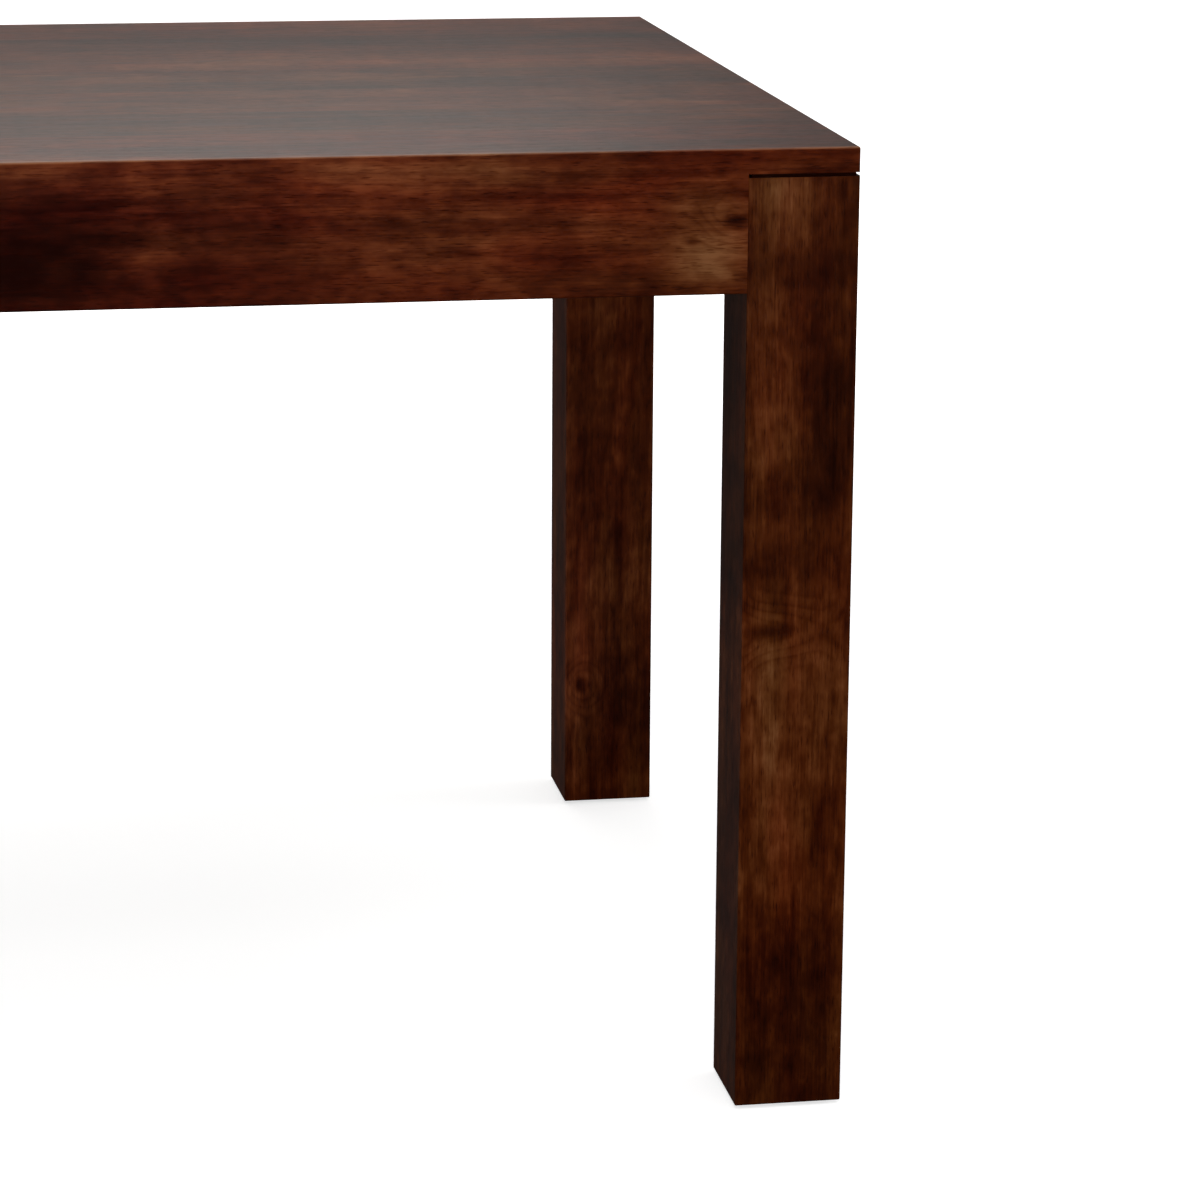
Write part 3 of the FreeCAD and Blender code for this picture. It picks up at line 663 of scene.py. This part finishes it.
def thread_cut(thread, place, turn, start, end):
    """Depth of a thread's groove at a place along a bolt and a part of a turn round it, none at its ends."""
    pitch, depth, _ = thread
    fade = max(0.0, min(1.0, (place - start) / pitch, (end - place) / pitch))
    return fade * depth * abs(2 * ((place / pitch - turn) % 1) - 1)


def bolt_radius(place, turn, length, radius):
    """Radius of a hanger bolt at a place from its nut end and a part of a turn round it."""
    chamfered = radius - BOLT_CHAMFER + place
    pointed = radius * (length - place) / BOLT_POINT
    nut_cut = thread_cut(NUT_THREAD, place, turn, 0, NUT_THREAD[2])
    wood_cut = thread_cut(WOOD_THREAD, place, turn, length - WOOD_THREAD[2], length)
    return min(radius, chamfered, pointed) - nut_cut - wood_cut


def ring_places(length):
    """Places along a bolt of its rings of points, through both threads and up to the point."""
    places = []
    for (pitch, _, threaded), start in ((NUT_THREAD, 0), (WOOD_THREAD, length - WOOD_THREAD[2])):
        count = round(TURN_RINGS * threaded / pitch)
        places += [start + threaded * ring / count for ring in range(count)]
    return places


def bolt_shape(nut_end, outwards, length, radius):
    """Points and faces of a threaded bolt, closed at the nut end and at the point."""
    sideways = UP.cross(outwards)
    places = ring_places(length)
    points = []
    for place, side in itertools.product(places, range(BOLT_SIDES)):
        turn = side / BOLT_SIDES
        angle = 2 * math.pi * turn
        spoke = math.cos(angle) * sideways + math.sin(angle) * UP
        points.append(nut_end + place * outwards + bolt_radius(place, turn, length, radius) * spoke)
    tip = len(points)
    points.append(nut_end + length * outwards)

    faces = [tuple(reversed(range(BOLT_SIDES)))]
    for ring, side in itertools.product(range(len(places)), range(BOLT_SIDES)):
        first = ring * BOLT_SIDES + side
        second = ring * BOLT_SIDES + (side + 1) % BOLT_SIDES
        last_ring = ring == len(places) - 1
        faces.append((first, second, tip) if last_ring else
                     (first, second, second + BOLT_SIDES, first + BOLT_SIDES))
    return points, faces


def add_bolts(steel):
    """Threaded hanger bolts in the place of the plain ones."""
    points = []
    faces = []
    for axis in bolt_axes():
        bolt_points, bolt_faces = bolt_shape(*axis)
        faces += [[len(points) + corner for corner in face] for face in bolt_faces]
        points += bolt_points
    mesh = bpy.data.meshes.new("threaded_bolts")
    mesh.from_pydata(points, [], faces)
    mesh.materials.append(steel)
    for face in mesh.polygons:
        face.use_smooth = len(face.vertices) < BOLT_SIDES
    bolts = bpy.data.objects.new("threaded_bolts", mesh)
    bpy.context.scene.collection.objects.link(bolts)
    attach(bolts, "root")
    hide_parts("hanger_bolts")


def dress_fixings():
    steel = steel_material()
    for name in ("bolt_washers", "bolt_nuts", "top_screws", "cleat_screws", "block_screws", "glide_nails"):
        dress(name, steel)
    add_bolts(steel)
    plastic = plastic_material()
    for corner in CORNERS:
        dress(f"glide_{corner}", plastic)


def set_camera():
    corner = Vector((cad_high.x, cad_low.y, cad_low.z))
    data = bpy.data.cameras.new("photo_camera")
    data.sensor_width = SENSOR
    data.lens = CAMERA_LENS
    camera = bpy.data.objects.new("photo_camera", data)
    bpy.context.scene.collection.objects.link(camera)
    camera.matrix_world = (Matrix.Translation(corner + CAMERA_OFFSET)
                           @ Matrix.Rotation(-CAMERA_YAW, 4, "Z")
                           @ Matrix.Rotation(math.pi / 2 - CAMERA_PITCH, 4, "X")
                           @ Matrix.Rotation(CAMERA_ROLL, 4, "Z"))
    bpy.context.scene.camera = camera


def area_lamp(name, place, target, size, power, colour=(1, 1, 1)):
    data = bpy.data.lights.new(name, "AREA")
    data.shape = "RECTANGLE"
    data.size, data.size_y = size
    data.energy = power
    data.color = colour
    lamp = bpy.data.objects.new(name, data)
    bpy.context.scene.collection.objects.link(lamp)
    lamp.location = place
    lamp.rotation_euler = (Vector(target) - Vector(place)).to_track_quat("-Z", "Y").to_euler()
    lamp.visible_camera = False
    return lamp


def set_lights():
    for name, settings in SOFT_LAMPS.items():
        lamp = area_lamp(name, *settings)
        lamp.visible_glossy = False
    strip = area_lamp("strip", *STRIP_LAMP, SHEEN_TINT)
    strip.visible_diffuse = False
    sun = bpy.data.lights.new("sky_panel", "SUN")
    sun.energy = PANEL_STRENGTH
    sun.angle = PANEL_ANGLE
    panel = bpy.data.objects.new("sky_panel", sun)
    bpy.context.scene.collection.objects.link(panel)
    panel.rotation_euler = (PANEL_TILT, 0, 0)


def set_world():
    """White to the eye; as a light, dark near the floor and in front, brighter upwards and to the back."""
    world = bpy.data.worlds.new("studio")
    bpy.context.scene.world = world
    world.use_nodes = True
    tree = world.node_tree
    tree.nodes.clear()
    direction = shader_node(tree, "ShaderNodeTexCoord").outputs["Generated"]
    rise = eased(tree, component(tree, direction, "Z"), WORLD_RISE, WORLD_GLOW)
    to_back = add_scaled(tree, 0.5, component(tree, direction, "Y"), 0.5)
    strength = calc(tree, "MULTIPLY", rise, to_back)
    path = shader_node(tree, "ShaderNodeLightPath")
    soft = shader_node(tree, "ShaderNodeBackground", {"Color": (*SHEEN_TINT, 1), "Strength": strength})
    white = shader_node(tree, "ShaderNodeBackground", {"Color": (1, 1, 1, 1), "Strength": 1.0})
    mixed = shader_node(tree, "ShaderNodeMixShader", {
        0: path.outputs["Is Camera Ray"], 1: soft.outputs[0], 2: white.outputs[0]})
    shader_node(tree, "ShaderNodeOutputWorld", {"Surface": mixed.outputs[0]})


def floor_material():
    """White paint that glows more away from the table, so that the floor runs into the white behind it."""
    material, tree = new_material("floor_paint")
    distance = vector_length(tree, object_place(tree))
    finish(tree, Base_Color=(FLOOR_SHADE, FLOOR_SHADE, FLOOR_SHADE, 1), Roughness=FLOOR_ROUGHNESS,
           Emission_Color=(1, 1, 1, 1), Emission_Strength=eased(tree, distance, FLOOR_FADE, FLOOR_GLOW))
    return material


def add_floor():
    mesh = bpy.data.meshes.new("floor")
    corners = ((-1, -1), (1, -1), (1, 1), (-1, 1))
    mesh.from_pydata([(FLOOR_REACH * x, FLOOR_REACH * y, cad_low.z) for x, y in corners], [], [(0, 1, 2, 3)])
    mesh.materials.append(floor_material())
    floor = bpy.data.objects.new("floor", mesh)
    bpy.context.scene.collection.objects.link(floor)
    floor.visible_diffuse = False
    floor.visible_glossy = False


def set_view():
    settings = bpy.context.scene.view_settings
    settings.view_transform = "Standard"
    settings.look = "None"


FIGURE = figure_group()
dress_planks()
dress_boards()
dress_legs()
dress_end_aprons()
dress_inner_wood()
dress_fixings()
set_camera()
set_lights()
set_world()
add_floor()
set_view()
